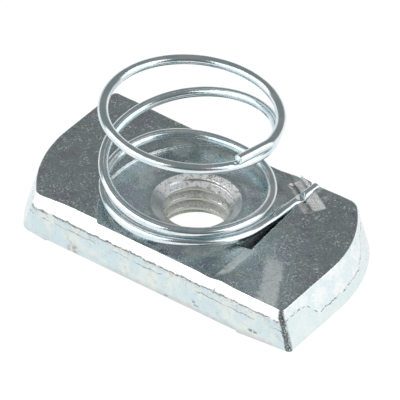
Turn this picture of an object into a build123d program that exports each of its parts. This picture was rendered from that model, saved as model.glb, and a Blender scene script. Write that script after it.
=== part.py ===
from build123d import *

import math
import os

# Spring nut for slotted steel channel: a pressed nut plate with its coil spring staked on.
#
# Frame: the origin is on the axis of the threaded hole, in the plane of the clamping face,
# with +Z up through the spring.  X runs along the length of the nut, Y across its width.

# ---------------------------------------------------------------- nut plate
WIDTH = 19.0                # across the long sides, so that it drops through the channel slot
TOP_LENGTH = 34.4           # between the straight ends, at the spring face
THICKNESS = 5.3             # clamping face to spring face
DRAFT_ANGLE = 16.0          # lean of each end wall, out towards the clamping face
END_ARC_R = 14.7            # the corner of each end that is rounded off for the quarter turn
END_ARC_START = 1.0         # how far past the middle the straight part of an end reaches
END_ARC_ANGLE = 60.0        # sweep of that arc; the long side cuts it off before its end
SHOULDER_RUN = 0.6          # rolled shoulder of the long sides, measured across
SHOULDER_DROP = 1.42        # rolled shoulder of the long sides, measured down
CORNER_R = 0.5              # upright corners of the plate
FOOT_R = 0.7                # rolled lower edge of the long sides

# ---------------------------------------------------------------- clamping face
LAND_HALF = 11.9            # flat middle of the clamping face, from the hole to a wing
WING_RISE = 0.7             # how far a wing climbs away from the land at its outer end
TOOTH_ZONE = 2.9            # width of the toothed strip that bites on the channel lip
TOOTH_PITCH = 1.25
TOOTH_DEPTH = 0.7
TOOTH_COUNT = 13
TOOTH_CREST = 0.05          # flat left on the crest between two notches

# ---------------------------------------------------------------- thread
THREAD_MAJOR = 8.0
THREAD_PITCH = 1.25
CREST_RATIO = 1.0825        # inner thread: major less crest diameter, in pitches
SINK_D = 9.4                # mouth of the countersink on each face
SINK_ANGLE = 120.0

# ---------------------------------------------------------------- coil spring
WIRE_D = 1.05
COIL_R = 8.62               # centre line of the wire
COIL_X = -0.95              # axis of the coil, off the hole so that the leg clears the thread
COIL_Y = 0.1
START_ANGLE = -22.55        # where the free end was cut, from X
COIL_TURNS = 3.053          # free end to leg, going down anticlockwise
CUT_TURNS = 0.076           # straight stretch of wire at the free end
FLARE = 0.42                # how much wider the coil is wound at the free end
FLARE_TURNS = 0.75          # from the free end to where the coil has closed to its radius
SAG = 0.13                  # how far the free end hangs below the slope of the top turn
SAG_TURNS = 0.5             # from the free end to where that has faded out
CLOSED_PITCH = 0.9          # fall of the wire per turn in the closed stretches
OPEN_FALL = 7.27            # extra fall over the open turn
OPEN_START_TURNS = 0.87     # from the free end to where the open turn starts
OPEN_END_TURNS = 2.05       # and ends
DIVE_FALL = 1.1             # extra fall where the wire drops into the nut
DIVE_START_TURNS = 2.88     # from the free end to where that starts
DIVE_END_TURNS = 3.15       # and ends, in the leg
LEAN_X_RATIO = -0.05        # slope of the free end along X
LEAN_Y_RATIO = -0.056       # slope of the free end along Y
TURN_COUNT = 18             # points to a turn on the curve that the wire follows
LEG_STEP = 1.6              # between the points of its leg
LEG_SINK = 0.4              # leg's centre line below the spring face
LEG_SETBACK = 0.3           # between the leg's tip and the long side

# ---------------------------------------------------------------- seat, leg groove and stake
SEAT_DEPTH = 0.3            # shallow seat pressed under the coil
SEAT_R = 11.1
SEAT_X = 2.2
SEAT_Y = -1.0
SEAT_WALL_X = 8.3           # foot of the seat's ramp, beside the leg
SEAT_WALL_RUN = 1.4         # width of that ramp
GROOVE_CLEAR = 0.06         # between the wire and the groove that grips it
GROOVE_START = -3.0         # Y of the coil end of the groove
GROOVE_MOUTH = 1.0          # extra width of the outer side at that end
GROOVE_INNER = 0.35         # extra width of the inner side
GROOVE_GRIP = 5.2           # Y where the groove closes on the wire
GROOVE_NECK = 1.0           # length over which the inner side closes
STAKE_ANGLE = -31.5         # chisel line across the leg, from X
STAKE_Y = 7.4               # Y of the chisel line where it crosses the leg
STAKE_IN = 3.1              # from the leg to the closed end of the mark
STAKE_OUT = 4.6             # from the leg to its open end, past the long side
STAKE_DEPTH = 0.65
STAKE_NEAR = 1.4            # width of the flank on the side of the coil
STAKE_FAR = 1.1             # width of the other flank
STAKE_END_RUN = 0.5         # slope of the ends of the mark
CHISEL_EDGE = 0.04          # flat at the foot of the mark

# ---------------------------------------------------------------- what follows from them
BORE_D = THREAD_MAJOR - CREST_RATIO * THREAD_PITCH
HALF_WIDTH = WIDTH / 2
HALF_LENGTH = TOP_LENGTH / 2
DRAFT_RUN = THICKNESS * math.tan(math.radians(DRAFT_ANGLE))
REACH = HALF_LENGTH + DRAFT_RUN             # from the hole to the foot of an end
OUTSIDE = 2 * REACH                         # from the hole to well outside the plate
WIRE_R = WIRE_D / 2
LEG_Z = THICKNESS - LEG_SINK
LEG_ANGLE = START_ANGLE + 360 * COIL_TURNS
SEAT_Z = THICKNESS - SEAT_DEPTH
FREE_Z = LEG_Z + CLOSED_PITCH * DIVE_END_TURNS + OPEN_FALL + DIVE_FALL


def ease(t):
    """Smooth step from 0 to 1."""
    t = min(max(t, 0.0), 1.0)
    return t * t * (3 - 2 * t)


def fall(turn):
    """How far the wire has come down from the free end, after this many turns."""
    turn = min(turn, DIVE_END_TURNS)
    open_share = ease((turn - OPEN_START_TURNS) / (OPEN_END_TURNS - OPEN_START_TURNS))
    dive_share = ease((turn - DIVE_START_TURNS) / (DIVE_END_TURNS - DIVE_START_TURNS))
    return CLOSED_PITCH * turn + OPEN_FALL * open_share + DIVE_FALL * dive_share


def wound_point(turn):
    """Centre of the wire as it was wound, counted in turns down from the free end."""
    angle = math.radians(START_ANGLE + 360 * turn)
    radius = COIL_R + FLARE * (1 - ease((turn - CUT_TURNS) / (FLARE_TURNS - CUT_TURNS)))
    x = radius * math.cos(angle)
    y = radius * math.sin(angle)
    lean = 1 - ease((turn - OPEN_START_TURNS / 2) / (OPEN_END_TURNS - OPEN_START_TURNS / 2))
    slope = lean * (LEAN_X_RATIO * x + LEAN_Y_RATIO * y)
    sag = SAG * (1 - ease(turn / SAG_TURNS))
    return Vector(COIL_X + x, COIL_Y + y, FREE_Z - fall(turn) + slope - sag)


def coil_point(turn):
    """The same, with the wire straight over its last stretch at the free end."""
    if turn >= CUT_TURNS:
        return wound_point(turn)
    free_end = wound_point(0)
    return free_end + (wound_point(CUT_TURNS) - free_end) * (turn / CUT_TURNS)


# Seen from above, the leg leaves the coil on its tangent and runs straight to the long side.
leg_slant = math.tan(math.radians(-LEG_ANGLE))
leg_root = coil_point(COIL_TURNS)
leg_end_y = HALF_WIDTH - LEG_SETBACK


def leg_x(y):
    """X of the leg's centre line at a given Y."""
    return leg_root.X + (y - leg_root.Y) * leg_slant


def leg_point(y):
    """Centre of the wire in the leg at a given Y."""
    run = (y - leg_root.Y) * math.hypot(1, leg_slant)
    return Vector(leg_x(y), y, FREE_Z - fall(COIL_TURNS + run / (2 * math.pi * COIL_R)))


leg_level_y = leg_root.Y + (DIVE_END_TURNS - COIL_TURNS) * 2 * math.pi * COIL_R / math.hypot(1, leg_slant)
stake_centre = Vector(leg_x(STAKE_Y), STAKE_Y, THICKNESS)


# ---------------------------------------------------------------- channel nut
def end_arc(degrees, side):
    """Point of the rounded corner of one end, counted from where its straight part stops."""
    angle = math.radians(degrees)
    x = HALF_LENGTH - END_ARC_R * (1 - math.cos(angle))
    y = END_ARC_R * math.sin(angle) - END_ARC_START
    return (side * x, side * y)


notch_width = TOOTH_PITCH - TOOTH_CREST
notch_flank = math.hypot(notch_width / 2, TOOTH_DEPTH)

with BuildPart() as channel_nut:
    # Blank with both drafted ends, wider than the plate: straight to past the middle, then rounded off.
    with BuildSketch(Plane.XY.offset(THICKNESS)):
        with BuildLine():
            for side in (1, -1):
                Line((side * HALF_LENGTH, -side * WIDTH), end_arc(0, side))
                ThreePointArc(*[end_arc(END_ARC_ANGLE * share, side) for share in (0, 0.5, 1)])
                Line(end_arc(END_ARC_ANGLE, side), (-side * HALF_LENGTH, side * WIDTH))
        make_face()
    extrude(amount=-THICKNESS, taper=-DRAFT_ANGLE)

    # Long sides: upright, with a rolled shoulder above and a rolled foot below.
    with BuildSketch(Plane.YZ):
        with BuildLine():
            Polyline((0, 0), (HALF_WIDTH - FOOT_R, 0))
            JernArc((HALF_WIDTH - FOOT_R, 0), (1, 0), FOOT_R, 90)
            Polyline((HALF_WIDTH, FOOT_R), (HALF_WIDTH, THICKNESS - SHOULDER_DROP),
                     (HALF_WIDTH - SHOULDER_RUN, THICKNESS), (0, THICKNESS))
            mirror(about=Plane.YZ)
        make_face()
    extrude(amount=OUTSIDE, both=True, mode=Mode.INTERSECT)
    uprights = channel_nut.edges().filter_by(lambda e: abs(e.tangent_at(0.5).Z) > 0.9)
    fillet(uprights, CORNER_R)

    # Wings: the clamping face climbs from the middle land to each end.
    wing_slope = WING_RISE / (REACH - LAND_HALF)
    for side in (-1, 1):
        with BuildSketch(Plane.XZ):
            with BuildLine():
                Polyline((side * LAND_HALF, 0), (side * OUTSIDE, 0),
                         (side * OUTSIDE, wing_slope * (OUTSIDE - LAND_HALF)), close=True)
            make_face()
        extrude(amount=WIDTH, both=True, mode=Mode.SUBTRACT)

    # Toothed strips: ridges along X bite into the edges of the channel's lips.
    for side in (-1, 1):
        with BuildSketch(Plane.YZ.offset(side * LAND_HALF)):
            with GridLocations(TOOTH_PITCH, 0, TOOTH_COUNT, 1):
                Triangle(a=notch_width, b=notch_flank, c=notch_flank, align=(Align.CENTER, Align.MIN))
        extrude(amount=side * TOOTH_ZONE, mode=Mode.SUBTRACT)

    # Seat of the coil: a shallow round recess with a ramp for a wall beside the leg.
    with BuildSketch(Plane.XY.offset(THICKNESS)):
        with Locations((SEAT_X, SEAT_Y)):
            Circle(SEAT_R)
        with Locations((SEAT_WALL_X, 0)):
            Rectangle(OUTSIDE, 2 * WIDTH, align=(Align.MIN, Align.CENTER), mode=Mode.SUBTRACT)
    extrude(amount=-SEAT_DEPTH, mode=Mode.SUBTRACT)
    with BuildSketch(Plane.XZ.offset(-GROOVE_START)):
        with BuildLine():
            Polyline((SEAT_X, SEAT_Z), (SEAT_WALL_X, SEAT_Z),
                     (SEAT_WALL_X + SEAT_WALL_RUN, THICKNESS), (SEAT_X, THICKNESS), close=True)
        make_face()
    extrude(amount=WIDTH, mode=Mode.SUBTRACT)

    # Leg groove: a mouth that narrows from the coil, then a slot that grips the wire.
    grip = WIRE_R + GROOVE_CLEAR
    neck_y = GROOVE_GRIP - GROOVE_NECK
    with BuildSketch(Plane.XY.offset(THICKNESS)):
        with BuildLine():
            Polyline((leg_x(GROOVE_START) - grip - GROOVE_INNER, GROOVE_START),
                     (leg_x(GROOVE_START) + grip + GROOVE_MOUTH, GROOVE_START),
                     (leg_x(GROOVE_GRIP) + grip, GROOVE_GRIP),
                     (leg_x(WIDTH) + grip, WIDTH),
                     (leg_x(WIDTH) - grip, WIDTH),
                     (leg_x(GROOVE_GRIP) - grip, GROOVE_GRIP),
                     (leg_x(neck_y) - grip - GROOVE_INNER, neck_y),
                     close=True)
        make_face()
    extrude(amount=-(LEG_SINK + grip), mode=Mode.SUBTRACT)

    # Stake: the chisel mark across the leg, a V that is closed at one end and runs out of the side.
    chisel_line = Plane(origin=stake_centre).rotated((0, 0, STAKE_ANGLE))
    with BuildSketch(chisel_line):
        with BuildLine():
            Polyline((STAKE_IN, -STAKE_NEAR), (STAKE_IN, STAKE_FAR),
                     (-STAKE_OUT, STAKE_FAR), (-STAKE_OUT, -STAKE_NEAR), close=True)
        make_face()
    with BuildSketch(chisel_line.offset(-STAKE_DEPTH)):
        with Locations((STAKE_IN - STAKE_END_RUN, 0)):
            Rectangle(STAKE_IN + STAKE_OUT - 2 * STAKE_END_RUN, CHISEL_EDGE, align=(Align.MAX, Align.CENTER))
    loft(ruled=True, mode=Mode.SUBTRACT)

    # Tapped hole, countersunk on both faces.
    with Locations(Plane.XY.offset(SEAT_Z)):
        CounterSinkHole(BORE_D / 2, SINK_D / 2, counter_sink_angle=SINK_ANGLE)
    with Locations(Plane.XY.rotated((180, 0, 0))):
        CounterSinkHole(BORE_D / 2, SINK_D / 2, counter_sink_angle=SINK_ANGLE)

channel_nut.part.label = "channel_nut"

# ---------------------------------------------------------------- coil spring
with BuildPart() as coil_spring:
    with BuildLine():
        steps = round(COIL_TURNS * TURN_COUNT)
        route = [coil_point(COIL_TURNS * i / steps) for i in range(steps)]
        legs = round((leg_level_y - leg_root.Y) / LEG_STEP)
        route += [leg_point(leg_root.Y + (leg_level_y - leg_root.Y) * i / legs) for i in range(legs + 1)]
        wire = Spline(route, tangents=[route[1] - route[0], (leg_slant, 1, 0)], tangent_scalars=[1, 1])
        Line(wire @ 1, leg_point(leg_end_y))
    with BuildSketch(Plane(origin=wire @ 0, z_dir=wire % 0)):
        Circle(WIRE_R)
    sweep()
coil_spring.part.label = "coil_spring"

os.makedirs("parts", exist_ok=True)
export_step(channel_nut.part, "parts/channel_nut.step")
export_step(coil_spring.part, "parts/coil_spring.step")
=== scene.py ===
import logging
import math
from collections.abc import Callable, Iterable
from dataclasses import dataclass, field
from enum import Enum

import bpy
import numpy as np
from mathutils import Matrix, Vector


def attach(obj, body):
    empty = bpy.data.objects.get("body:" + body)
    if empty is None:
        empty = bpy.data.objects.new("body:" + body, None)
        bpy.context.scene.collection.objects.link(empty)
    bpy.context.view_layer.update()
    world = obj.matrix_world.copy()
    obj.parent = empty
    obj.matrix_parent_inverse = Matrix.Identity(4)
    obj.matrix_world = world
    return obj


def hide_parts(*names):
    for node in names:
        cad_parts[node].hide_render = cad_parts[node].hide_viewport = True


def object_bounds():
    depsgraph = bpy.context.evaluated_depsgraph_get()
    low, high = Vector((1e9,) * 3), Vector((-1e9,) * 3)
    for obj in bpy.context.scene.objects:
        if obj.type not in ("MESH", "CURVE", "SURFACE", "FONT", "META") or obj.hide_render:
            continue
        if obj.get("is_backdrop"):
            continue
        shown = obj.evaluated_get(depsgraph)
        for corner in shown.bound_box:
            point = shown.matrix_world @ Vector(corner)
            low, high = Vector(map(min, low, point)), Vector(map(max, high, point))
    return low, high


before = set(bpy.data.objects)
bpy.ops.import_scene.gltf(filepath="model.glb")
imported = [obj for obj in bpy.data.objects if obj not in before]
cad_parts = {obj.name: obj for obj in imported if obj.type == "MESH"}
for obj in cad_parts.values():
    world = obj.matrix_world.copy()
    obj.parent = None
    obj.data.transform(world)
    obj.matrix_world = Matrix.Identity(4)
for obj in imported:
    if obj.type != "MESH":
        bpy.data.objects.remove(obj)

# Spring nut for slotted steel channel. Sizes are in millimetres in the part's own frame: the origin
# on the axis of the tapped hole in the plane of the clamping face, +Z towards the spring. Angles
# are in degrees, apart from those that are set with math.radians.
MM = 0.001
LOG = logging.getLogger("spring_nut")

RGB = tuple[float, float, float]
Range = tuple[float, float]
Socket = bpy.types.NodeSocket
Value = Socket | float | RGB


class Mark(Enum):
    """Names of the slots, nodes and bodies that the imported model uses."""

    BODY = "root"
    NUT = "channel_nut"
    SPRING = "coil_spring"
    PLATE_SLOT = "zinc_plate"
    WIRE_SLOT = "spring_wire"


# ---------------------------------------------------------------------------- shaping helpers
def ease(t: np.ndarray | float) -> np.ndarray | float:
    """Smooth step from 0 to 1.

    Args:
        t: Position along the step, cut off outside 0 to 1.

    Returns:
        The eased value.
    """
    t = np.clip(t, 0.0, 1.0)
    return t * t * (3 - 2 * t)


def meet(a: np.ndarray, b: np.ndarray, radius: float) -> np.ndarray:
    """Distance to what lies in both solids, with the edge between them rounded off.

    Args:
        a: Distance to the first solid, negative inside.
        b: Distance to the second solid.
        radius: Radius of the edge.

    Returns:
        Distance to the common part.
    """
    over_a = np.maximum(a + radius, 0)
    over_b = np.maximum(b + radius, 0)
    return np.minimum(np.maximum(a, b), -radius) + np.hypot(over_a, over_b)


def polygon(x: np.ndarray, y: np.ndarray, corners: list[tuple[float, float]]) -> np.ndarray:
    """Distance to a closed outline in the plane.

    Args:
        x: X of the points.
        y: Y of the points.
        corners: Corners of the outline in order.

    Returns:
        Distance to the outline, negative inside it.
    """
    nearest = np.full(x.shape, np.inf, dtype=np.float32)
    inside = np.zeros(x.shape, dtype=bool)
    for (ax, ay), (bx, by) in zip(corners, corners[1:] + corners[:1]):
        ex, ey = bx - ax, by - ay
        share = np.clip(((x - ax) * ex + (y - ay) * ey) / (ex * ex + ey * ey), 0, 1)
        nearest = np.minimum(nearest, np.hypot(x - ax - share * ex, y - ay - share * ey))
        if ay != by:
            crosses = (ay > y) != (by > y)
            inside ^= crosses & (x < (bx - ax) * (y - ay) / (by - ay) + ax)
    return np.where(inside, -nearest, nearest)


class Grain:
    """Smooth random field in space, the same on every run."""

    SIZE = 32
    LAYER_SHIFT = 11.3

    def __init__(self, seed: int) -> None:
        """Draws the lattice.

        Args:
            seed: Seed of the random draw.
        """
        draw = np.random.default_rng(seed)
        self.lattice = draw.uniform(-1, 1, (self.SIZE,) * 3).astype(np.float32)

    def at(self, points: np.ndarray, scale: float, octaves: int = 1) -> np.ndarray:
        """Value of the field, about -1 to 1.

        Args:
            points: Points in rows.
            scale: Size of the largest grain.
            octaves: How many finer layers, each half the size and half the height.

        Returns:
            One value for each point.
        """
        total = np.zeros(len(points), dtype=np.float32)
        for layer in range(octaves):
            q = points * (2 ** layer / scale) + self.LAYER_SHIFT * layer
            cell = np.floor(q).astype(np.int64)
            part = ease(q - cell)
            for corner in np.ndindex(2, 2, 2):
                weight = np.prod(np.where(corner, part, 1 - part), axis=1)
                i, j, k = ((cell + corner) % self.SIZE).T
                total += weight * self.lattice[i, j, k] / 2 ** layer
        return total


@dataclass
class Skin:
    """Turns a distance field into a mesh: one vertex in each grid cell that the surface crosses."""

    low: RGB
    high: RGB
    step: float

    def axes(self) -> list[np.ndarray]:
        """Grid lines along X, Y and Z."""
        return [np.arange(a, b + self.step, self.step, dtype=np.float32)
                for a, b in zip(self.low, self.high)]

    def mesh(self, field_of: Callable[..., np.ndarray]) -> tuple[np.ndarray, np.ndarray]:
        """Finds the surface.

        Args:
            field_of: Function of X, Y and Z arrays that gives the distance.

        Returns:
            Vertices in rows and the four vertex numbers of each face.
        """
        axes = self.axes()
        values = np.asarray(field_of(*np.meshgrid(*axes, indexing="ij")), dtype=np.float32)
        inside = values < 0
        shape = np.array(values.shape)
        cells = np.prod(shape)
        sums = np.zeros((cells, 3))
        counts = np.zeros(cells)
        quads = []
        stride = np.array([shape[1] * shape[2], shape[2], 1])
        for axis in range(3):
            near = [slice(None)] * 3
            far = [slice(None)] * 3
            near[axis], far[axis] = slice(0, -1), slice(1, None)
            starts = np.argwhere(inside[tuple(near)] != inside[tuple(far)])
            ends = starts.copy()
            ends[:, axis] += 1
            a, b = values[tuple(starts.T)], values[tuple(ends.T)]
            crossing = starts.astype(float)
            crossing[:, axis] += a / (a - b)
            one, two = (axis + 1) % 3, (axis + 2) % 3
            ring = []
            for d_one, d_two in ((1, 1), (0, 1), (0, 0), (1, 0)):
                cell = starts.copy()
                cell[:, one] -= d_one
                cell[:, two] -= d_two
                ring.append(cell @ stride)
                for k in range(3):
                    sums[:, k] += np.bincount(ring[-1], crossing[:, k], cells)
                counts += np.bincount(ring[-1], minlength=cells)
            ring = np.stack(ring, axis=1)
            leaving = (a < 0)[:, None]
            quads.append(np.where(leaving, ring, ring[:, ::-1]))
        used = np.flatnonzero(counts)
        number = np.zeros(cells, dtype=np.int64)
        number[used] = np.arange(len(used))
        points = sums[used] / counts[used, None] * self.step + np.array(self.low)
        return points, number[np.concatenate(quads)]


# ---------------------------------------------------------------------------- the spring's line
@dataclass(frozen=True)
class CoilLine:
    """Centre line of the wire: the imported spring's law, with a dent in its lowest turn."""

    wire_d: float = 1.05
    radius: float = 8.62
    axis_x: float = -0.95
    axis_y: float = 0.1
    start_angle: float = -22.55
    turns: float = 3.053
    cut_turns: float = 0.076
    flare: float = 0.42
    flare_turns: float = 0.75
    sag: float = 0.13
    sag_turns: float = 0.5
    closed_pitch: float = 0.9
    open_fall: float = 7.27
    open_from: float = 0.87
    open_to: float = 2.05
    dive_fall: float = 1.1
    dive_from: float = 2.88
    dive_to: float = 3.15
    lean_x: float = -0.05
    lean_y: float = -0.056
    dent_in: float = 0.35
    dent_down: float = 0.65
    dent_turns: tuple[float, float, float, float] = (2.0, 2.2, 2.3, 2.5)
    leg_z: float = 4.9
    leg_end_y: float = 9.2
    stake_angle: float = -31.5
    stake_y: float = 7.4

    def chisel(self, x: np.ndarray, y: np.ndarray) -> tuple[np.ndarray, np.ndarray]:
        """Place along the chisel line, and across it away from the coil.

        Args:
            x: X of the points.
            y: Y of the points.

        Returns:
            Both distances from where the line crosses the leg.
        """
        turn = math.radians(self.stake_angle)
        centre = self.leg(self.stake_y)
        along = (x - centre.x) * math.cos(turn) + (y - centre.y) * math.sin(turn)
        across = (y - centre.y) * math.cos(turn) - (x - centre.x) * math.sin(turn)
        return along, across

    @property
    def free_z(self) -> float:
        """Height of the free end, before its lean."""
        return self.leg_z + self.closed_pitch * self.dive_to + self.open_fall + self.dive_fall

    @property
    def slant(self) -> float:
        """How far the leg moves along X for each millimetre along Y."""
        return math.tan(math.radians(-self.start_angle - 360 * self.turns))

    def _fall(self, turn: float) -> float:
        """How far the wire has come down after this many turns.

        Args:
            turn: Turns down from the free end.

        Returns:
            The way down in millimetres.
        """
        turn = min(turn, self.dive_to)
        opened = ease((turn - self.open_from) / (self.open_to - self.open_from))
        dived = ease((turn - self.dive_from) / (self.dive_to - self.dive_from))
        return self.closed_pitch * turn + self.open_fall * opened + self.dive_fall * dived

    def _wound(self, turn: float) -> Vector:
        """Centre of the wire as it was wound, before its end was straightened.

        Args:
            turn: Turns down from the free end.

        Returns:
            The point.
        """
        angle = math.radians(self.start_angle + 360 * turn)
        past = ease((turn - self.cut_turns) / (self.flare_turns - self.cut_turns))
        flare = self.flare * (1 - past)
        x, y = (self.radius + flare) * math.cos(angle), (self.radius + flare) * math.sin(angle)
        lean = 1 - ease((turn - self.open_from / 2) / (self.open_to - self.open_from / 2))
        z = self.free_z - self._fall(turn) + lean * (self.lean_x * x + self.lean_y * y)
        z -= self.sag * (1 - ease(turn / self.sag_turns))
        return Vector((self.axis_x + x, self.axis_y + y, z))

    def _dented(self, turn: float) -> Vector:
        """The wound wire with the place where its lowest turn is bent in and down.

        Args:
            turn: Turns down from the free end.

        Returns:
            The point.
        """
        point = self._wound(turn)
        start, deep, leave, end = self.dent_turns
        share = ease((turn - start) / (deep - start)) * (1 - ease((turn - leave) / (end - leave)))
        out = Vector((point.x - self.axis_x, point.y - self.axis_y, 0)).normalized()
        return point - (self.dent_in * out + Vector((0, 0, self.dent_down))) * float(share)

    def coil(self, turn: float) -> Vector:
        """Centre of the wire in the coil.

        Args:
            turn: Turns down from the free end.

        Returns:
            The point.
        """
        if turn >= self.cut_turns:
            return self._dented(turn)
        return self._wound(0).lerp(self._wound(self.cut_turns), turn / self.cut_turns)

    def leg(self, y: float) -> Vector:
        """Centre of the wire in the straight leg at a given Y.

        Args:
            y: Place along the leg.

        Returns:
            The point.
        """
        root = self.coil(self.turns)
        run = (y - root.y) * math.hypot(1, self.slant)
        z = self.free_z - self._fall(self.turns + run / (2 * math.pi * self.radius))
        return Vector((root.x + (y - root.y) * self.slant, y, z))


# ---------------------------------------------------------------------------- materials
class Graph:
    """Short names for the nodes of one tree."""

    def __init__(self, tree: bpy.types.NodeTree) -> None:
        """Takes a tree over.

        Args:
            tree: The tree that gets the nodes.
        """
        self.tree = tree

    def link(self, value: Value, socket: Socket) -> None:
        """Feeds a socket with another socket or with a plain value.

        Args:
            value: Output socket, number or colour.
            socket: Input socket.
        """
        if isinstance(value, Socket):
            self.tree.links.new(value, socket)
        elif isinstance(value, tuple) and socket.type == "RGBA":
            socket.default_value = (*value, 1.0)
        else:
            socket.default_value = value

    def node(self, kind: str, *values: Value) -> bpy.types.Node:
        """New shader node.

        Args:
            kind: Blender's name of the node, without its prefix.
            values: What feeds its first inputs.

        Returns:
            The node.
        """
        node = self.tree.nodes.new("ShaderNode" + kind)
        for value, socket in zip(values, node.inputs):
            self.link(value, socket)
        return node

    def math(self, operation: str, *values: Value) -> Socket:
        """Math node.

        Args:
            operation: Blender's name of the operation.
            values: Up to three numbers or sockets.

        Returns:
            The result's socket.
        """
        node = self.node("Math", *values)
        node.operation = operation
        return node.outputs[0]

    def vector(self, operation: str, first: Value, second: RGB) -> bpy.types.Node:
        """Vector math node of a socket and a plain vector.

        Args:
            operation: Blender's name of the operation.
            first: Vector or socket.
            second: Plain vector.

        Returns:
            The node.
        """
        node = self.node("VectorMath", first, second)
        node.operation = operation
        return node

    def split(self, vector: Value) -> list[Socket]:
        """The X, Y and Z sockets of a vector."""
        return list(self.node("SeparateXYZ", vector).outputs)

    def step(self, value: Value, low: float, high: float, first: float = 0,
             last: float = 1) -> Socket:
        """Smooth step of a value.

        Args:
            value: What is followed.
            low: Value at which the step starts; it may lie above the other.
            high: Value at which the step ends.
            first: Result before the step.
            last: Result after the step.

        Returns:
            The result's socket.
        """
        node = self.node("MapRange", value, low, high, first, last)
        node.interpolation_type = "SMOOTHSTEP"
        return node.outputs["Result"]


class SurfaceGraph(Graph):
    """The tree of a material with a principled shader, read in millimetres on the object."""

    def __init__(self, name: str) -> None:
        """Starts an empty material.

        Args:
            name: Name of the material.
        """
        self.material = bpy.data.materials.new(name)
        self.material.use_nodes = True
        super().__init__(self.material.node_tree)
        self.shader = self.tree.nodes["Principled BSDF"]
        self.place = self.scaled(self.node("TexCoord").outputs["Object"], (1 / MM,) * 3)
        self.x, self.y, self.z = self.split(self.place)
        self.out_x, self.out_y, self.up = self.split(self.node("NewGeometry").outputs["Normal"])
        square = self.math("MULTIPLY", self.y, self.y)
        self.reach = self.math("SQRT", self.blend(self.x, self.x, square))

    def scaled(self, vector: Value, scale: RGB) -> Socket:
        """The vector stretched along each axis."""
        return self.vector("MULTIPLY", vector, scale).outputs[0]

    def noise(self, scale: float, detail: float, rough: float = 0.55,
              stretch: RGB = (1, 1, 1)) -> Socket:
        """Noise value.

        Args:
            scale: Grains to the millimetre.
            detail: Finer layers.
            rough: Height of each finer layer against the one before.
            stretch: How much denser the grains lie along each axis.

        Returns:
            Socket of about 0 to 1.
        """
        node = self.node("TexNoise", self.scaled(self.place, stretch))
        node.inputs["Scale"].default_value = scale
        node.inputs["Detail"].default_value = detail
        node.inputs["Roughness"].default_value = rough
        return node.outputs["Fac"]

    def grains(self, scale: float, detail: float, rough: float, edges: Range) -> Socket:
        """Noise cut to patches: 0 below the first edge and 1 above the second."""
        return self.step(self.noise(scale, detail, rough=rough), *edges)

    def near(self, value: Value, centre: Value, reach: float) -> Socket:
        """1 where a value lies at a centre, falling to 0 at a distance from it."""
        gap = self.math("ABSOLUTE", self.math("SUBTRACT", value, centre))
        return self.step(gap, reach, 0.4 * reach)

    def within(self, value: Value, rise: Range, fall: Range) -> Socket:
        """1 between two smooth steps."""
        return self.both(self.step(value, *rise), self.step(value, *fall))

    def blend(self, value: Value, gain: Value, base: Value) -> Socket:
        """The value times a gain, plus a base."""
        return self.math("MULTIPLY_ADD", value, gain, base)

    def both(self, *masks: Value) -> Socket:
        """Product of the masks.

        Args:
            masks: Masks or numbers.

        Returns:
            The product.
        """
        product = masks[0]
        for mask in masks[1:]:
            product = self.math("MULTIPLY", product, mask)
        return product

    def either(self, *masks: Value) -> Socket:
        """Largest of the masks.

        Args:
            masks: Masks or numbers.

        Returns:
            The largest.
        """
        largest = masks[0]
        for mask in masks[1:]:
            largest = self.math("MAXIMUM", largest, mask)
        return largest

    def unless(self, mask: Value) -> Socket:
        """What the mask leaves free."""
        return self.math("SUBTRACT", 1.0, mask)

    def mix(self, share: Value, first: Value, second: Value) -> Socket:
        """Colour mix.

        Args:
            share: 0 for the first colour and 1 for the second.
            first: Colour or socket.
            second: Colour or socket.

        Returns:
            The mixed colour's socket.
        """
        node = self.node("Mix")
        node.data_type = "RGBA"
        self.link(share, node.inputs["Factor"])
        sockets = [s for s in node.inputs if s.type == "RGBA"]
        self.link(first, sockets[0])
        self.link(second, sockets[1])
        return next(s for s in node.outputs if s.type == "RGBA")

    def bump(self, height: Value, strength: float, distance: float) -> None:
        """Gives the shader a bump.

        Args:
            height: Height socket.
            strength: Share of the effect.
            distance: Height in millimetres of a full step.
        """
        node = self.node("Bump")
        node.inputs["Strength"].default_value = strength
        node.inputs["Distance"].default_value = distance * MM
        self.link(height, node.inputs["Height"])
        self.link(node.outputs["Normal"], self.shader.inputs["Normal"])

    def finish(self, colour: Value, roughness: Value, metallic: Value) -> bpy.types.Material:
        """Sets the shader's main sockets.

        Args:
            colour: Base colour.
            roughness: Roughness.
            metallic: Share of metal.

        Returns:
            The material.
        """
        self.link(colour, self.shader.inputs["Base Color"])
        self.link(roughness, self.shader.inputs["Roughness"])
        self.link(metallic, self.shader.inputs["Metallic"])
        return self.material


@dataclass(frozen=True)
class Spot:
    """A mark on a long side: its place, half its size and how dark it is."""

    x: float
    z: float
    reach_x: float
    reach_z: float
    share: float


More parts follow.
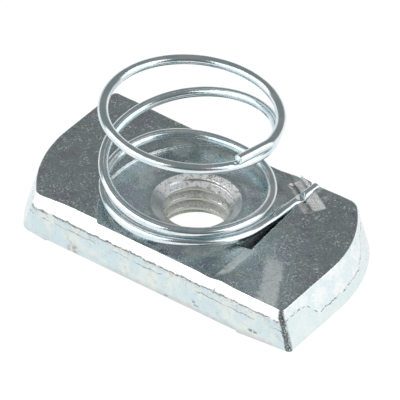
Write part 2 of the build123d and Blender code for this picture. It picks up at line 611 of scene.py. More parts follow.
@dataclass(frozen=True)
class StruckFinish:
    """Fresh bare metal in the chisel mark and on what the chisel threw up, its flanks painted as
    lit and shaded copies and its valley painted as shade.
    """

    cut: RGB = (0.93, 0.91, 0.90)
    # The dull copy of the cut metal, painted on the shaded flank.
    cut_shaded: RGB = (0.66, 0.65, 0.65)
    angle: float = math.radians(-31.5)
    x: float = 7.7
    y: float = 7.4
    top_z: Range = (4.2, 4.6)
    left: Range = (-4.2, -3.7)
    right: Range = (3.5, 3.2)
    near_edge: Range = (-1.65, -1.5)
    far_edge: Range = (1.25, 1.1)
    # Where the painted shade runs along the mark's valley:
    valley: float = -0.1
    valley_half: float = 0.22
    raised_z: Range = (5.33, 5.40)
    streaks: RGB = (0.4, 3.0, 1.0)

    def apply(self, g: SurfaceGraph, colour: Value, dark: RGB) -> tuple[Value, Value, Value]:
        """Lays the cut metal over a colour, with painted light on the flanks and painted shade in
        the valley.

        Args:
            g: The material's tree.
            colour: Colour of the rest.
            dark: Colour of the painted shade in the valley.

        Returns:
            The new colour, the mark's mask and the share that scatters light.
        """
        cos, sin = math.cos(self.angle), math.sin(self.angle)
        from_x, from_y = g.math("SUBTRACT", g.x, self.x), g.math("SUBTRACT", g.y, self.y)
        along = g.blend(from_x, cos, g.math("MULTIPLY", from_y, sin))
        across = g.blend(from_y, cos, g.math("MULTIPLY", from_x, -sin))
        mask = g.both(g.step(g.z, *self.top_z), g.within(along, self.left, self.right),
                      g.within(across, self.near_edge, self.far_edge))
        lines = g.blend(g.noise(3.0, 3), 0.5, g.noise(2.2, 2, stretch=self.streaks))
        # Painted light: the flank away from the coil takes the bright cut colour as if lit, the
        # near flank its dull shaded copy.
        flank = g.blend(g.step(across, 0.0, 0.2), -0.22, lines)
        lit_and_shaded_cut = g.mix(g.step(flank, 0.52, 0.86), self.cut, self.cut_shaded)
        # Painted shade along the valley of the mark.
        lit_and_shaded_cut = g.mix(g.both(g.near(across, self.valley, self.valley_half), 0.7), lit_and_shaded_cut, dark)
        colour = g.mix(g.both(mask, g.step(g.up, 0.999, 0.97)), colour, lit_and_shaded_cut)
        raised = g.both(g.step(g.z, *self.raised_z), g.step(lines, 0.95, 0.60))
        bloom = g.either(g.both(mask, g.step(flank, 0.80, 0.40), 0.7), g.both(raised, 0.75))
        return g.mix(raised, colour, self.cut), mask, bloom


@dataclass(frozen=True)
class PlateFinish:
    """Bright zinc on the pressed nut: rolled faces, burnished edges and sheared ends, with painted
    shade and painted highlights.
    """

    # Rolled top colours, set darker than the walls partly as painted shade.
    rolled: RGB = (0.50, 0.58, 0.61)
    rolled_olive: RGB = (0.47, 0.55, 0.54)
    rolled_violet: RGB = (0.46, 0.50, 0.56)
    # Matt zinc, also the colour of the painted highlight in the streak and specks.
    frost_and_highlight: RGB = (0.90, 0.97, 0.95)
    shoulder: RGB = (0.99, 1.0, 1.0)
    side: RGB = (0.75, 0.81, 0.78)
    side_blue: RGB = (0.64, 0.76, 0.79)
    foot: RGB = (0.52, 0.52, 0.51)
    stain: RGB = (0.42, 0.36, 0.27)
    end: RGB = (0.88, 0.92, 0.92)
    end_blue: RGB = (0.76, 0.86, 0.89)
    torn: RGB = (0.72, 0.83, 0.81)
    line: RGB = (0.12, 0.13, 0.14)
    thread: RGB = (0.52, 0.53, 0.47)
    # Dull clouds inside the countersink's painted highlight.
    sink_dull: RGB = (0.34, 0.39, 0.36)
    polish: float = 0.10
    grit_rough: float = 0.20
    seat_polish: float = -0.06
    thread_rough: float = 0.18
    struck_rough: float = 0.12
    frost_rough: float = 0.40
    frost_bloom: float = 0.42
    sink_bloom: float = 0.95
    # Painted highlight: the streak across the end of the top:
    streak_x: float = 10.1
    streak_y: float = -0.6
    streak_lean: float = 0.54
    seat_reach: Range = (10.2, 8.6)
    seat_right: Range = (8.6, 7.6)
    ramp_left: Range = (8.1, 8.5)
    ramp_right: Range = (10.0, 9.6)
    ramp_far: Range = (-2.6, -3.4)
    ramp_reach: Range = (12.4, 11.6)
    # Where the countersink's painted highlight lies, and its aim:
    sink_edge: Range = (5.3, 5.1)
    sink_highlight_aim: tuple[float, float] = (-0.50, 0.87)
    thread_reach: Range = (4.4, 4.2)
    # Painted shade in the leg's groove:
    groove_shade_lean: float = -0.06
    groove_shade_left: Range = (7.25, 7.45)
    groove_shade_right: Range = (10.9, 10.4)
    groove_shade_start: Range = (-3.3, -2.9)
    groove_shade_end: Range = (6.0, 5.0)
    shoulder_foot: float = 3.90
    shoulder_lean: float = 0.008
    second_line: float = 3.0
    stain_x: float = -8.35
    stain_z: float = 0.9
    crack_z: float = 2.25
    crack_rise: float = 1.9
    crack_rise_y: Range = (3.6, 6.4)
    corner_lean: float = math.tan(math.radians(16))
    corner_x: float = 18.48
    corner_y: float = -9.5
    struck: StruckFinish = StruckFinish()
    spots: tuple[Spot, ...] = (Spot(13.9, 1.35, 0.7, 0.22, 0.8), Spot(6.7, 1.5, 0.22, 0.2, 0.6),
                               Spot(7.0, 1.15, 0.4, 0.12, 0.6), Spot(3.3, 0.65, 0.3, 0.15, 0.5),
                               Spot(9.1, 0.55, 0.2, 0.15, 0.5), Spot(9.15, 4.25, 0.12, 0.3, 0.7))

    def _highlight_streak(self, g: SurfaceGraph) -> Socket:
        """The painted highlight: a grainy bright streak that crosses the end of the top.

        Args:
            g: The material's tree.

        Returns:
            The mask.
        """
        aside = g.blend(g.math("SUBTRACT", g.y, self.streak_y), self.streak_lean,
                        g.math("SUBTRACT", g.x, self.streak_x))
        streak = g.both(g.near(aside, 0.5, 2.1), g.step(g.y, 0.8, -4.5), g.step(g.x, 8.9, 10.2))
        core = g.both(g.near(aside, 0.6, 1.3), g.step(g.y, -1.5, -4.5), 0.35)
        grains = g.math("MULTIPLY", g.noise(2.6, 5, rough=0.8), 1.6)
        soft = g.blend(g.math("ADD", streak, core), 0.55, grains)
        fine = g.blend(g.grains(6.0, 3, 0.8, (0.36, 0.60)), 0.62, 0.38)
        return g.both(g.step(soft, 1.10, 1.58), g.step(streak, 0.0, 0.25), fine)

    def _frost_and_highlight(self, g: SurfaceGraph) -> Socket:
        """Where the zinc is matt and where highlight is painted: specks in clusters, the streak as
        a painted highlight, the ramp and patches in the seat.

        Args:
            g: The material's tree.

        Returns:
            The mask.
        """
        cluster = g.step(g.noise(0.8, 4), 0.40, 0.62)
        specks = g.both(g.grains(4.0, 4, 0.75, (0.50, 0.66)), g.blend(cluster, 0.75, 0.20))
        seat = g.both(g.step(g.reach, *self.seat_reach), g.step(g.noise(0.55, 4), 0.44, 0.60),
                      g.step(g.x, *self.seat_right), g.blend(specks, 0.5, 0.35))
        ramp = g.both(g.within(g.x, self.ramp_left, self.ramp_right), g.step(g.y, *self.ramp_far),
                      g.step(g.reach, *self.ramp_reach), g.step(g.up, 0.995, 0.975),
                      g.grains(1.8, 5, 0.75, (0.15, 0.62)))
        return g.both(g.either(specks, self._highlight_streak(g), seat, ramp), g.step(g.reach, 4.9, 5.2))

    def _top(self, g: SurfaceGraph, frost_and_highlight_mask: Value) -> Socket:
        """Rolled face, toned darker than the walls partly as painted shade: faint blotches, pits
        and matt places.

        Args:
            g: The material's tree.
            frost_and_highlight_mask: Mask of the matt places and the painted highlights.

        Returns:
            The face's colour.
        """
        blotch = g.noise(0.45, 3)
        colour = g.mix(g.step(blotch, 0.50, 0.62), self.rolled, self.rolled_olive)
        colour = g.mix(g.step(blotch, 0.48, 0.36), colour, self.rolled_violet)
        pits = g.step(g.noise(2.6, 3), 0.64, 0.72)
        colour = g.mix(g.both(pits, 0.7), colour, self.line)
        # Matt zinc, and painted highlight in the streak and specks.
        return g.mix(frost_and_highlight_mask, colour, self.frost_and_highlight)

    def _side(self, g: SurfaceGraph, ragged: Value, flecks: Value) -> Socket:
        """Long side: white shoulder, ragged line under it, blue and grey patches, rolled foot
        painted greyer as painted shade.

        Args:
            g: The material's tree.
            ragged: Unevenness of the edges.
            flecks: Mask that breaks thin lines up.

        Returns:
            The side's colour.
        """
        colour = g.mix(g.step(g.noise(0.42, 4), 0.44, 0.60), self.side_blue, self.side)
        colour = g.mix(g.both(g.grains(1.5, 5, 0.75, (0.50, 0.72)), 0.52), colour, self.foot)
        # Painted shade: the side is painted greyer towards its foot, more from the middle to the
        # right.
        low = g.step(g.math("ADD", g.z, ragged), 1.25, 0.45)
        right = g.blend(g.step(g.x, -6.0, -2.0), 0.45, 0.15)
        colour = g.mix(g.both(low, right), colour, self.foot)
        edge = g.blend(g.x, self.shoulder_lean, self.shoulder_foot)
        level = g.blend(ragged, 0.7, g.z)
        colour = g.mix(g.step(level, 3.84, 4.0), colour, self.shoulder)
        broken = g.step(g.noise(1.1, 3), 0.30, 0.46)
        grime = g.both(g.within(level, (2.9, 3.7), (4.02, 3.9)),
                       g.grains(3.0, 5, 0.8, (0.44, 0.64)))
        colour = g.mix(g.both(grime, 0.62), colour, self.foot)
        line = g.both(g.near(level, edge, 0.14), broken, flecks)
        colour = g.mix(g.both(line, 0.85), colour, self.line)
        gone = g.step(g.noise(0.33, 1), 0.46, 0.54)
        second = g.both(g.near(level, self.second_line, 0.10), gone, flecks)
        colour = g.mix(g.both(second, 0.6), colour, self.line)
        pool = g.both(g.near(g.x, self.stain_x, 0.9), g.near(g.z, self.stain_z, 0.7))
        trail = g.both(g.near(g.blend(g.z, 0.5, g.x), self.stain_x + 0.45, 0.35),
                       g.step(g.z, 3.0, 1.2))
        dirt = g.both(g.either(pool, g.both(trail, 0.6)), g.step(g.noise(2.4, 3), 0.35, 0.6))
        colour = g.mix(g.both(dirt, 0.8), colour, self.stain)
        for spot in self.spots:
            mark = g.both(g.near(g.x, spot.x, spot.reach_x), g.near(g.z, spot.z, spot.reach_z),
                          spot.share)
            colour = g.mix(g.both(mark, g.step(g.noise(4.0, 2), 0.3, 0.55)), colour, self.line)
        return colour

    def _end(self, g: SurfaceGraph, ragged: Value, flecks: Value) -> Socket:
        """Sheared end: burnished above a ragged crack, smoother and greener below it.

        Args:
            g: The material's tree.
            ragged: Unevenness of the edges.
            flecks: Mask that breaks thin lines up.

        Returns:
            The end's colour.
        """
        colour = g.mix(g.step(g.noise(0.7, 4), 0.42, 0.58), self.end_blue, self.end)
        colour = g.mix(g.both(g.grains(2.2, 5, 0.75, (0.52, 0.72)), 0.48), colour, self.foot)
        rise = g.step(g.math("ABSOLUTE", g.y), *self.crack_rise_y)
        crack = g.math("ADD", g.math("MULTIPLY", rise, self.crack_rise), self.crack_z)
        level = g.blend(ragged, 0.9, g.z)
        below = g.step(g.math("SUBTRACT", level, crack), 0.10, -0.25)
        colour = g.mix(g.both(below, 0.6), colour, self.torn)
        broken = g.step(g.noise(1.6, 3), 0.42, 0.54)
        line = g.both(g.near(level, crack, 0.10), broken, flecks)
        return g.mix(g.both(line, 0.85), colour, self.line)

    def _walls(self, g: SurfaceGraph) -> Socket:
        """Long sides and ends, with the dark line down two of the corners.

        Args:
            g: The material's tree.

        Returns:
            Their colour.
        """
        ragged = g.blend(g.noise(1.0, 5, rough=0.65), 1.2, -0.6)
        flecks = g.blend(g.step(g.noise(5.5, 3), 0.34, 0.52), 0.7, 0.3)
        facing = g.math("SUBTRACT", g.math("ABSOLUTE", g.out_x), g.math("ABSOLUTE", g.out_y))
        walls = g.mix(g.step(facing, -0.25, 0.05), self._side(g, ragged, flecks),
                      self._end(g, ragged, flecks))
        lean = g.blend(g.z, self.corner_lean, g.math("ABSOLUTE", g.x))
        corner = g.both(g.near(g.blend(ragged, 0.6, lean), self.corner_x, 0.40),
                        g.near(g.math("MULTIPLY", g.y, g.math("SIGN", g.x)), self.corner_y, 0.7),
                        g.step(g.z, 0.4, 0.9))
        return g.mix(g.both(corner, flecks), walls, self.line)

    def make(self) -> bpy.types.Material:
        """Builds the material.

        Returns:
            The material.
        """
        g = SurfaceGraph("zinc_plate_finish")
        # Up-facing faces take the darker top colours, partly painted shade, and the walls the paler
        # ones.
        top = g.step(g.up, 0.80, 0.96)
        frost_and_highlight_mask = self._frost_and_highlight(g)
        colour = g.mix(top, self._walls(g), self._top(g, frost_and_highlight_mask))
        # Painted highlight: the countersink wall on the back-left side is painted near white with
        # dull clouds, as if lit, and made less metallic.
        lit_x, lit_y = self.sink_highlight_aim
        away = g.math("DIVIDE", g.blend(g.x, lit_x, g.math("MULTIPLY", g.y, lit_y)), g.reach)
        far = g.both(g.step(g.reach, *self.sink_edge), g.step(away, 0.05, 0.55),
                     g.within(g.up, (0.95, 0.88), (0.76, 0.82)))
        cloud = g.grains(2.2, 5, 0.8, (0.50, 0.62))
        colour = g.mix(far, colour, g.mix(g.both(cloud, 0.45), self.shoulder, self.sink_dull))
        inside = g.both(g.step(g.reach, *self.thread_reach), g.step(g.up, 0.75, 0.35))
        colour = g.mix(inside, colour, self.thread)
        colour, struck, struck_bloom = self.struck.apply(g, colour, self.line)
        # Painted shade: the groove walls beside the leg are painted near black where the wire
        # shades them.
        groove_shade = g.both(g.within(g.z, (5.02, 4.88), (3.9, 4.1)),
                       g.within(g.y, self.groove_shade_start, self.groove_shade_end),
                       g.step(g.blend(g.y, self.groove_shade_lean, g.x), *self.groove_shade_left),
                       g.step(g.x, *self.groove_shade_right))
        colour = g.mix(g.both(groove_shade, 0.85), colour, self.line)
        grit = g.noise(3.5, 4, rough=0.7)
        sunk = g.both(g.step(g.z, 5.12, 5.05), top)
        plain = g.blend(grit, self.grit_rough, g.blend(sunk, self.seat_polish, self.polish))
        plain = g.blend(struck, self.struck_rough, g.blend(inside, self.thread_rough, plain))
        matt = g.both(frost_and_highlight_mask, top, g.unless(struck))
        bloom = g.either(g.both(matt, self.frost_bloom), struck_bloom,
                         g.both(far, g.unless(cloud), self.sink_bloom))
        g.bump(grit, 0.8, 0.05)
        return g.finish(colour, g.blend(matt, self.frost_rough, plain), g.unless(bloom))


@dataclass(frozen=True)
class WireFinish:
    """Bright zinc on drawn spring wire."""

    bright: RGB = (0.80, 0.86, 0.88)
    blue: RGB = (0.66, 0.78, 0.82)
    roughness: float = 0.16

    def make(self) -> bpy.types.Material:
        """Builds the material.

        Returns:
            The material.
        """
        g = SurfaceGraph("spring_wire_finish")
        colour = g.mix(g.step(g.noise(0.5, 2), 0.40, 0.60), self.blue, self.bright)
        g.bump(g.noise(7.0, 2), 0.4, 0.02)
        return g.finish(colour, self.roughness, 1.0)


# ---------------------------------------------------------------------------- channel nut
@dataclass(frozen=True)
class Lump:
    """A small hump of metal: its place, reach and height."""

    x: float
    y: float
    reach: float
    height: float


@dataclass
class ChannelNut:
    """The pressed nut plate, worked out as one solid and skinned with a fine mesh."""

    half_width: float = 9.5
    half_length: float = 17.2
    thickness: float = 5.3
    draft: float = math.radians(16)
    arc_r: float = 14.7
    arc_start: float = 1.0
    corner_r: float = 0.5
    foot_r: float = 0.7
    end_foot_r: float = 0.4
    top_edge_r: float = 0.10
    pressed_r: float = 0.06
    struck_r: float = 0.05
    shoulder_run: float = 0.33
    shoulder_bow: float = 0.50
    shoulder_bow_back: float = 0.15
    shoulder_x: float = -1.5
    shoulder_bow_half: float = 7.5
    shoulder_bow_run: float = 6.0
    shoulder_drop: float = 1.42
    shoulder_lean: float = 0.008
    shoulder_r: float = 0.12
    land_half: float = 11.9
    wing_rise: float = 0.7
    tooth_zone: float = 2.9
    tooth_pitch: float = 1.25
    tooth_depth: float = 0.7
    tooth_count: int = 13
    major_d: float = 8.0
    pitch: float = 1.25
    crest_ratio: float = 1.0825
    crest_phase: float = 0.95
    crest_flat: float = 0.125
    flank_run: float = 0.3
    field_scale: float = 0.8
    sink_d: float = 9.4
    sink_angle: float = 120.0
    seat_depth: float = 0.3
    seat_r: float = 11.1
    seat_x: float = 2.2
    seat_y: float = -1.0
    seat_wall_x: float = 8.3
    seat_wall_run: float = 1.4
    groove_start: float = -3.0
    groove_mouth: float = 1.0
    groove_inner: float = 0.12
    groove_grip: float = 5.2
    groove_neck: float = 1.0
    groove_clear: float = 0.06
    groove_hug: float = 0.47
    groove_hug_y: float = 6.1
    ridge_aside: float = 0.85
    ridge_from: float = 3.2
    ridge_to: float = 6.2
    ridge_fade: float = 0.6
    ridge_half: float = 0.17
    ridge_rise: float = 0.2
    stake_in: float = 3.1
    stake_out: float = 2.5
    stake_depth: float = 0.65
    stake_near: float = 1.1
    stake_far: float = 1.4
    stake_lag: float = 0.35
    stake_end_run: float = 0.5
    burst_x: float = 6.0
    burst_reach: float = 1.5
    burst_share: float = 0.8
    lumps: tuple[Lump, ...] = (Lump(7.35, 8.45, 0.42, 0.30), Lump(7.45, 9.15, 0.40, 0.30),
                               Lump(6.7, 9.0, 0.40, 0.25), Lump(6.05, 9.25, 0.35, 0.32),
                               Lump(5.2, 9.2, 0.40, 0.30), Lump(4.7, 8.7, 0.35, 0.22),
                               Lump(9.0, 8.3, 0.50, 0.10), Lump(10.4, 7.9, 0.60, 0.08))
    crumbs: Lump = Lump(6.3, 8.9, 1.4, 0.16)
    crumb_layer: float = 0.6
    wave: float = 0.012
    wall_wave: float = 0.02
    wave_size: float = 1.6
    grid: float = 0.1
    face_limit: int = 190_000
    line: CoilLine = field(default_factory=CoilLine)
    grain: Grain = field(default_factory=lambda: Grain(7))

    @property
    def reach(self) -> float:
        """From the hole to the foot of an end."""
        return self.half_length + self.thickness * math.tan(self.draft)

    def _ends(self, x: np.ndarray, y: np.ndarray, z: np.ndarray) -> np.ndarray:
        """Distance to the space between the two end walls, which lean outwards going down.

        Args:
            x: X of the points.
            y: Y of the points.
            z: Z of the points.

        Returns:
            Distance, negative inside.
        """
        lean = (self.thickness - z) * math.tan(self.draft)
        walls = []
        for side in (1, -1):
            along, across = side * x, side * y
            past = across + self.arc_start
            straight = along - self.half_length
            from_centre = np.maximum(along - self.half_length + self.arc_r, 0)
            rounded = np.hypot(from_centre, past) - self.arc_r
            walls.append(np.where(past < 0, straight, rounded) - lean)
        return np.maximum(*walls) * math.cos(self.draft)

    def _sides(self, x: np.ndarray, y: np.ndarray, z: np.ndarray) -> np.ndarray:
        """Distance to the space between the long sides, under their rolled shoulders.

        Args:
            x: X of the points.
            y: Y of the points.
            z: Z of the points.

        Returns:
            Distance, negative inside.
        """
        past = (np.abs(x - self.shoulder_x) - self.shoulder_bow_half) / self.shoulder_bow_run
        bow = np.where(y < 0, self.shoulder_bow, self.shoulder_bow_back)
        run = self.shoulder_run + bow * (1 - ease(past))
        burst = self.burst_share * np.exp(-((x - self.burst_x) / self.burst_reach) ** 2)
        run = np.where(y > 0, run * (1 - burst), run)
        drop = self.shoulder_drop - self.shoulder_lean * x
        slope = np.hypot(drop, run)
        out = np.abs(y)
        wall = out - self.half_width
        down = z - self.thickness
        shoulder = ((out - self.half_width + run) * drop + down * run) / slope
        return meet(wall, shoulder, self.shoulder_r)

    def _under(self, x: np.ndarray, y: np.ndarray, z: np.ndarray) -> np.ndarray:
        """Distance to the space above the clamping face, its wings and its toothed strips.

        Args:
            x: X of the points.
            y: Y of the points.
            z: Z of the points.

        Returns:
            Distance, negative inside.
        """
        slope = self.wing_rise / (self.reach - self.land_half)
        wing = (slope * (np.abs(x) - self.land_half) - z) / math.hypot(1, slope)
        level = np.maximum(-z, wing)
        half = self.tooth_pitch / 2
        even = half * (self.tooth_count % 2 == 0)
        from_notch = np.abs((y + even + half) % self.tooth_pitch - half)
        slope = self.tooth_depth / half
        notch = (self.tooth_depth * (1 - from_notch / half) - z) / math.hypot(1, slope)
        zone = self.tooth_zone / 2
        strip = np.maximum(np.abs(y) - self.tooth_count * half,
                           np.abs(np.abs(x) - self.land_half - zone) - zone)
        return np.maximum(level, np.minimum(notch, -strip))

    def _seat(self, x: np.ndarray, y: np.ndarray, z: np.ndarray) -> np.ndarray:
        """Distance to the shallow seat of the coil, with its ramp beside the leg.

        Args:
            x: X of the points.
            y: Y of the points.
            z: Z of the points.

        Returns:
            Distance, negative inside.
        """
        floor = self.thickness - self.seat_depth - z
        wall = (np.hypot(x - self.seat_x, y - self.seat_y) - self.seat_r) * self.field_scale
        slope = self.seat_depth / self.seat_wall_run
        above = z - self.thickness + self.seat_depth
        ramp = ((x - self.seat_wall_x) * slope - above) / math.hypot(1, slope)
        stop = np.where(y < self.groove_start, ramp, x - self.seat_wall_x)
        return meet(np.maximum(floor, wall), stop, self.struck_r)

    def _groove(self, x: np.ndarray, y: np.ndarray, z: np.ndarray) -> np.ndarray:
        """Distance to the groove that holds the leg.

        Args:
            x: X of the points.
            y: Y of the points.
            z: Z of the points.

        Returns:
            Distance, negative inside.
        """
        grip = self.line.wire_d / 2 + self.groove_clear
        neck = self.groove_grip - self.groove_neck
        far = 2 * self.half_width
        hug, hug_y = self.groove_hug, self.groove_hug_y
        at = {place: self.line.leg(place).x
              for place in (self.groove_start, neck, self.groove_grip, hug_y, far)}
        outline = [(at[self.groove_start] - grip - self.groove_inner, self.groove_start),
                   (at[self.groove_start] + grip + self.groove_mouth, self.groove_start),
                   (at[self.groove_grip] + grip, self.groove_grip),
                   (at[hug_y] + hug, hug_y),
                   (at[far] + hug, far),
                   (at[far] - hug, far),
                   (at[hug_y] - hug, hug_y),
                   (at[self.groove_grip] - grip, self.groove_grip),
                   (at[neck] - grip - self.groove_inner, neck)]
        return np.maximum(polygon(x, y, outline), self.line.leg_z - grip - z)

    def _stake(self, x: np.ndarray, y: np.ndarray, z: np.ndarray) -> np.ndarray:
        """Distance to the chisel mark: two flanks and two steep ends.

        Args:
            x: X of the points.
            y: Y of the points.
            z: Z of the points.

        Returns:
            Distance, negative inside.
        """
        along, across = self.line.chisel(x, y)
        across = across + self.stake_lag
        down = self.thickness - z
        middle = (self.stake_in - self.stake_out) / 2
        half = (self.stake_in + self.stake_out) / 2
        slope = self.stake_depth / self.stake_end_run
        mark = ((np.abs(along - middle) - half) * slope + down) / math.hypot(1, slope)
        for side, width in ((1, self.stake_far), (-1, self.stake_near)):
            slope = self.stake_depth / width
            flank = (side * across * slope + down - self.stake_depth) / math.hypot(1, slope)
            mark = np.maximum(mark, flank)
        return mark

    def _rise(self, x: np.ndarray, y: np.ndarray) -> np.ndarray:
        """Height of the metal that the chisel threw up beside the leg and at the long side.

        Args:
            x: X of the points.
            y: Y of the points.

        Returns:
            The height in millimetres.
        """
        height = np.zeros_like(x)
        for lump in self.lumps:
            away = (x - lump.x) ** 2 + (y - lump.y) ** 2
            height += lump.height * np.exp(-away / lump.reach ** 2)
        aside = x - (self.line.leg(0).x + self.line.slant * y) + self.ridge_aside
        fade = self.ridge_fade
        span = ease((y - self.ridge_from) / fade) * (1 - ease((y - self.ridge_to + fade) / fade))
        return height + span * self.ridge_rise * np.exp(-(aside / self.ridge_half) ** 2)

    def _hole(self, x: np.ndarray, y: np.ndarray, z: np.ndarray) -> np.ndarray:
        """Distance to the tapped hole and its two countersinks.

        Args:
            x: X of the points.
            y: Y of the points.
            z: Z of the points.

        Returns:
            Distance, negative inside.
        """
        radius = np.hypot(x, y)
        crest_r = (self.major_d - self.crest_ratio * self.pitch) / 2
        root_r = self.major_d / 2
        phase = (z - self.crest_phase) / self.pitch - np.arctan2(y, x) / (2 * math.pi)
        from_crest = np.abs((phase + 0.5) % 1 - 0.5)
        depth = np.clip((from_crest - self.crest_flat) / self.flank_run, 0, 1) * (root_r - crest_r)
        thread = (radius - crest_r - depth) * self.field_scale
        flare = math.tan(math.radians(self.sink_angle / 2))
        sinks = [(radius + away * flare - self.sink_d / 2) / math.hypot(1, flare)
                 for away in (self.thickness - self.seat_depth - z, z)]
        return np.minimum(thread, np.minimum(*sinks))

    def distance(self, x: np.ndarray, y: np.ndarray, z: np.ndarray) -> np.ndarray:
        """Distance to the whole nut.

        Args:
            x: X of the points.
            y: Y of the points.
            z: Z of the points.

        Returns:
            Distance, negative inside the metal.
        """
        plate = meet(self._ends(x, y, z), self._sides(x, y, z), self.corner_r)
        under = self._under(x, y, z)
        plate = np.where(np.abs(x) < self.land_half, meet(plate, under, self.foot_r),
                         meet(plate, under, self.end_foot_r))
        plate = meet(plate, z - self.thickness - self._rise(x, y), self.top_edge_r)
        plate = meet(plate, -self._seat(x, y, z), self.pressed_r)
        plate = meet(plate, -self._groove(x, y, z), self.pressed_r)
        plate = meet(plate, -self._stake(x, y, z), self.struck_r)
        return meet(plate, -self._hole(x, y, z), self.pressed_r)

    def _roughened(self, points: np.ndarray) -> np.ndarray:
        """The points with the small waves that pressing and shearing leave.

        Args:
            points: Points in rows.

        Returns:
            The moved points.
        """
        step = 0.02
        ahead, behind = (np.stack([self.distance(*(points + sign * step * unit).T)
                                   for unit in np.eye(3)], axis=1) for sign in (1, -1))
        slope = (ahead - behind) / (2 * step)
        slope /= np.maximum(np.linalg.norm(slope, axis=1, keepdims=True), 1e-6)
        points = points - slope * self.distance(*points.T)[:, None]
        upright = 1 - np.abs(slope[:, 2])
        away = (points[:, 0] - self.crumbs.x) ** 2 + (points[:, 1] - self.crumbs.y) ** 2
        burst = self.crumbs.height * np.exp(-away / self.crumbs.reach ** 2)
        upper = points[:, 2] > self.thickness - self.crumb_layer
        wave = self.wave + self.wall_wave * upright + burst * upper
        moved = (1 + self.grain.at(points, self.wave_size, 3)) * 0.5 * wave
        return points - slope * moved[:, None]

    def build(self) -> bpy.types.Object:
        """Makes the piece, ready to ride on its body.

        Returns:
            The nut's object.
        """
        margin = 0.35
        low = (-self.reach - margin, -self.half_width - margin, -margin)
        high = (self.reach + margin, self.half_width + margin, self.thickness + margin)
        points, quads = Skin(low, high, self.grid).mesh(self.distance)
        points = self._roughened(points)
        piece = make_piece("channel_nut_plate", points, quads)
        triangles = 2 * len(quads)
        if triangles > self.face_limit:
            thin_out(piece, self.face_limit / triangles)
        piece.data.materials.append(PlateFinish().make())
        settle(piece, Mark.NUT)
        return piece


# ---------------------------------------------------------------------------- coil spring
@dataclass
class CoilSpring:
    """The wound spring, with its cut free end and the leg that the nut holds."""

    line: CoilLine = field(default_factory=CoilLine)
    rings_per_turn: int = 150
    around: int = 32
    leg_step: float = 0.12
    end_bevel: float = 0.11
    bevel_sizes: Range = (0.94, 0.72)
    bite_near: float = 1.4
    bite_foot: float = 0.45
    bite_back: float = 0.3
    bite_depth: float = 0.42
    bite_half: float = 2.5

    def _route(self) -> list[Vector]:
        """Points along the wire's centre, closer together in the leg.

        Returns:
            The points in order.
        """
        count = round(self.line.turns * self.rings_per_turn)
        route = [self.line.coil(self.line.turns * i / count) for i in range(count)]
        root_y = self.line.coil(self.line.turns).y
        legs = round((self.line.leg_end_y - root_y) / self.leg_step)
        route += [self.line.leg(root_y + (self.line.leg_end_y - root_y) * i / legs)
                  for i in range(legs + 1)]
        return route

    def _bitten(self, points: np.ndarray) -> np.ndarray:
        """Flattens the wire where the chisel crossed it.

        Args:
            points: Points in rows.

        Returns:
            The points, flattened.
        """
        along, across = self.line.chisel(points[:, 0], points[:, 1])
        into = np.clip((across + self.bite_near) / (self.bite_near - self.bite_foot), 0, 1)
        back = np.clip((across + self.bite_foot) / self.bite_back, 0, 1)
        level = self.line.leg_z + self.line.wire_d / 2 - self.bite_depth * (into - back)
        high = (points[:, 2] > level) & (points[:, 2] < self.line.leg_z + 1)
        cut = high & (np.abs(along) < self.bite_half)
        points[cut, 2] = level[cut]
        return points

    def build(self) -> bpy.types.Object:
        """Makes the piece, ready to ride on its body.

        Returns:
            The spring's object.
        """
        route = self._route()
        sizes = [1.0] * len(route)
        for end, step in ((0, 1), (-1, -1)):
            tip, inner = route[end].copy(), route[end + step].copy()
            outward = (tip - inner).normalized()
            places = [tip - outward * self.end_bevel, tip - outward * self.end_bevel / 4, tip]
            scales = [1.0, *self.bevel_sizes]
            if end:
                route[-1:], sizes[-1:] = places, scales
            else:
                route[:1], sizes[:1] = places[::-1], scales[::-1]
        points: list[Vector] = []
        for i, centre in enumerate(route):
            ahead = (route[min(i + 1, len(route) - 1)] - route[max(i - 1, 0)]).normalized()
            level = ahead.cross(Vector((0, 0, 1))).normalized()
            rise = level.cross(ahead).normalized()
            for k in range(self.around):
                turn = 2 * math.pi * k / self.around
                offset = level * math.cos(turn) + rise * math.sin(turn)
                points.append(centre + offset * sizes[i] * self.line.wire_d / 2)
        faces: list[list[int]] = []
        for i in range(len(route) - 1):
            for k in range(self.around):
                a, b = i * self.around + k, i * self.around + (k + 1) % self.around
                faces.append([a, a + self.around, b + self.around, b])
        faces.append(list(range(self.around)))
        last = (len(route) - 1) * self.around
        faces.append(list(range(last + self.around - 1, last - 1, -1)))
        piece = make_piece("coil_spring_wire", self._bitten(np.array(points)), faces)
        piece.data.materials.append(WireFinish().make())
        settle(piece, Mark.SPRING)
        return piece


# ---------------------------------------------------------------------------- making pieces
def make_piece(name: str, points: np.ndarray, faces: Iterable) -> bpy.types.Object:
    """Makes a smooth mesh object.

    Args:
        name: Name of the object.
        points: Vertices in millimetres.
        faces: Vertex numbers of each face.

    Returns:
        The object, linked to the scene.
    """
    mesh = bpy.data.meshes.new(name)
    loops = [list(map(int, face)) for face in faces]
    mesh.from_pydata((np.asarray(points) * MM).tolist(), [], loops)
    mesh.update()
    mesh.shade_smooth()
    piece = bpy.data.objects.new(name, mesh)
    bpy.context.scene.collection.objects.link(piece)
    return piece


def thin_out(piece: bpy.types.Object, share: float) -> None:
    """Drops faces where the surface is plain.

    Args:
        piece: The object, whose mesh is replaced.
        share: Share of the faces that stays.
    """
    modifier = piece.modifiers.new("thin_out", "DECIMATE")
    modifier.ratio = share
    graph = bpy.context.evaluated_depsgraph_get()
    mesh = bpy.data.meshes.new_from_object(piece.evaluated_get(graph))
    piece.modifiers.clear()
    mesh.name = piece.name
    mesh.shade_smooth()
    piece.data = mesh


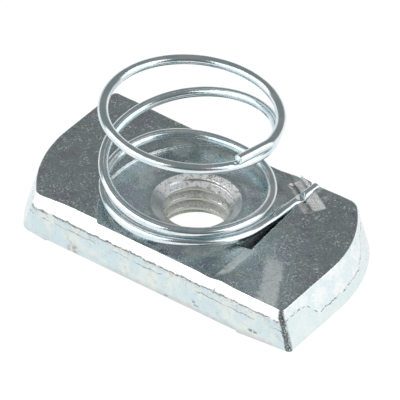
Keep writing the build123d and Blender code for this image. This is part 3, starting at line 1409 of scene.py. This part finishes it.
def settle(piece: bpy.types.Object, node: Mark) -> None:
    """Sets a piece on its body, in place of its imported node.

    Args:
        piece: The object.
        node: The node that it stands for.
    """
    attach(piece, Mark.BODY.value)
    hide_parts(node.value)
    LOG.info("%s: %d faces", piece.name, len(piece.data.polygons))


# ---------------------------------------------------------------------------- studio
@dataclass(frozen=True)
class Lamp:
    """A square soft lamp that faces the object: its direction in degrees, side and watts."""

    name: str
    azimuth: float
    elevation: float
    side: float
    power: float


@dataclass
class Studio:
    """Floor, light and camera."""

    azimuth: float = 36.02
    elevation: float = 38.5
    roll: float = 0.7
    distance: float = 0.5
    lens: float = 450.0
    target: Vector = field(default_factory=lambda: Vector((0.00043, 0.00003, 0.0053)))
    floor_half: float = 3.0
    floor_glow: float = 0.95
    floor_matt: float = 0.14
    dark_azimuth: float = -52.0
    dark_raise: float = 0.30
    dark_dim: float = 0.62
    behind_drop: float = 0.16
    haze: Range = (0.02, 0.20)
    overhead: float = 0.32
    lamp_reach: float = 1.2
    lamps: tuple[Lamp, ...] = (Lamp("left_lamp", -143, 28, 1.05, 4.6),
                               Lamp("front_lamp", -103, 30, 1.0, 4.2),
                               Lamp("right_lamp", 21, 27, 1.2, 5.8))

    def _camera(self) -> None:
        """Sets up the long lens."""
        a, e, r = (math.radians(v) for v in (self.azimuth, self.elevation, self.roll))
        back = Vector((math.sin(a) * math.cos(e), -math.cos(a) * math.cos(e), math.sin(e)))
        right = Vector((math.cos(a), math.sin(a), 0))
        up = back.cross(right)
        turned = math.cos(r) * right + math.sin(r) * up
        raised = math.cos(r) * up - math.sin(r) * right
        data = bpy.data.cameras.new("camera")
        data.lens = self.lens
        data.clip_start = 0.01
        data.clip_end = 50
        camera = bpy.data.objects.new("camera", data)
        spin = Matrix((turned, raised, back)).transposed().to_4x4()
        camera.matrix_world = Matrix.Translation(self.target + self.distance * back) @ spin
        bpy.context.scene.collection.objects.link(camera)
        bpy.context.scene.camera = camera

    def _floor(self) -> None:
        """Makes the white floor, which keeps the object's shadow."""
        s = self.floor_half
        mesh = bpy.data.meshes.new("floor")
        mesh.from_pydata([(-s, -s, 0), (s, -s, 0), (s, s, 0), (-s, s, 0)], [], [(0, 1, 2, 3)])
        floor = bpy.data.objects.new("floor", mesh)
        bpy.context.scene.collection.objects.link(floor)
        floor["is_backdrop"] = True
        material = bpy.data.materials.new("floor_white")
        material.use_nodes = True
        material.node_tree.nodes.clear()
        g = Graph(material.node_tree)
        path = g.node("LightPath").outputs
        seen = g.math("MAXIMUM", path["Is Camera Ray"], path["Is Glossy Ray"])
        seen = g.math("MAXIMUM", seen, path["Is Transmission Ray"])
        glow = g.node("Emission", (self.floor_glow,) * 3, seen)
        matt = g.node("BsdfDiffuse", (self.floor_matt,) * 3)
        g.node("OutputMaterial", g.node("AddShader", glow.outputs[0], matt.outputs[0]).outputs[0])
        mesh.materials.append(material)

    def _world(self) -> None:
        """Makes the surroundings: pale near the horizon, dark overhead, white behind."""
        world = bpy.data.worlds.new("studio")
        bpy.context.scene.world = world
        world.use_nodes = True
        world.node_tree.nodes.clear()
        g = Graph(world.node_tree)
        aim = g.node("TexCoord").outputs["Generated"]
        a = math.radians(self.dark_azimuth)
        towards = g.vector("DOT_PRODUCT", aim, (math.cos(a), math.sin(a), 0)).outputs["Value"]
        height = g.math("ADD", g.split(aim)[2], g.step(towards, 0.80, 0.95, last=self.dark_raise))
        height = g.math("SUBTRACT", height, g.step(towards, -0.75, -0.95, last=self.behind_drop))
        glow = g.math("MULTIPLY", g.step(height, *self.haze, first=1.0, last=self.overhead),
                      g.step(towards, 0.60, 0.90, first=1.0, last=self.dark_dim))
        sky = g.node("Background")
        g.link(g.math("MAXIMUM", g.node("LightPath").outputs["Is Camera Ray"], glow),
               sky.inputs["Strength"])
        g.node("OutputWorld", sky.outputs[0])

    def _light(self, lamp: Lamp) -> None:
        """Adds a lamp.

        Args:
            lamp: The lamp.
        """
        a, e = math.radians(lamp.azimuth), math.radians(lamp.elevation)
        out = Vector((math.cos(e) * math.cos(a), math.cos(e) * math.sin(a), math.sin(e)))
        data = bpy.data.lights.new(lamp.name, "AREA")
        data.size = lamp.side
        data.energy = lamp.power
        light = bpy.data.objects.new(lamp.name, data)
        spin = (-out).to_track_quat("-Z", "Y").to_matrix().to_4x4()
        light.matrix_world = Matrix.Translation(self.lamp_reach * out) @ spin
        bpy.context.scene.collection.objects.link(light)

    def build(self) -> None:
        """Sets up floor, light and camera."""
        bpy.context.scene.view_settings.view_transform = "Standard"
        self._camera()
        self._floor()
        self._world()
        for lamp in self.lamps:
            self._light(lamp)


# ---------------------------------------------------------------------------- all together
def main(packed_box: tuple[Vector, Vector]) -> None:
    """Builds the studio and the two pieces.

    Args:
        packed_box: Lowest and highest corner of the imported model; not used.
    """
    logging.basicConfig(level=logging.INFO, format="%(name)s %(message)s")
    Studio().build()
    ChannelNut().build()
    CoilSpring().build()


if __name__ == "__main__":
    main(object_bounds())
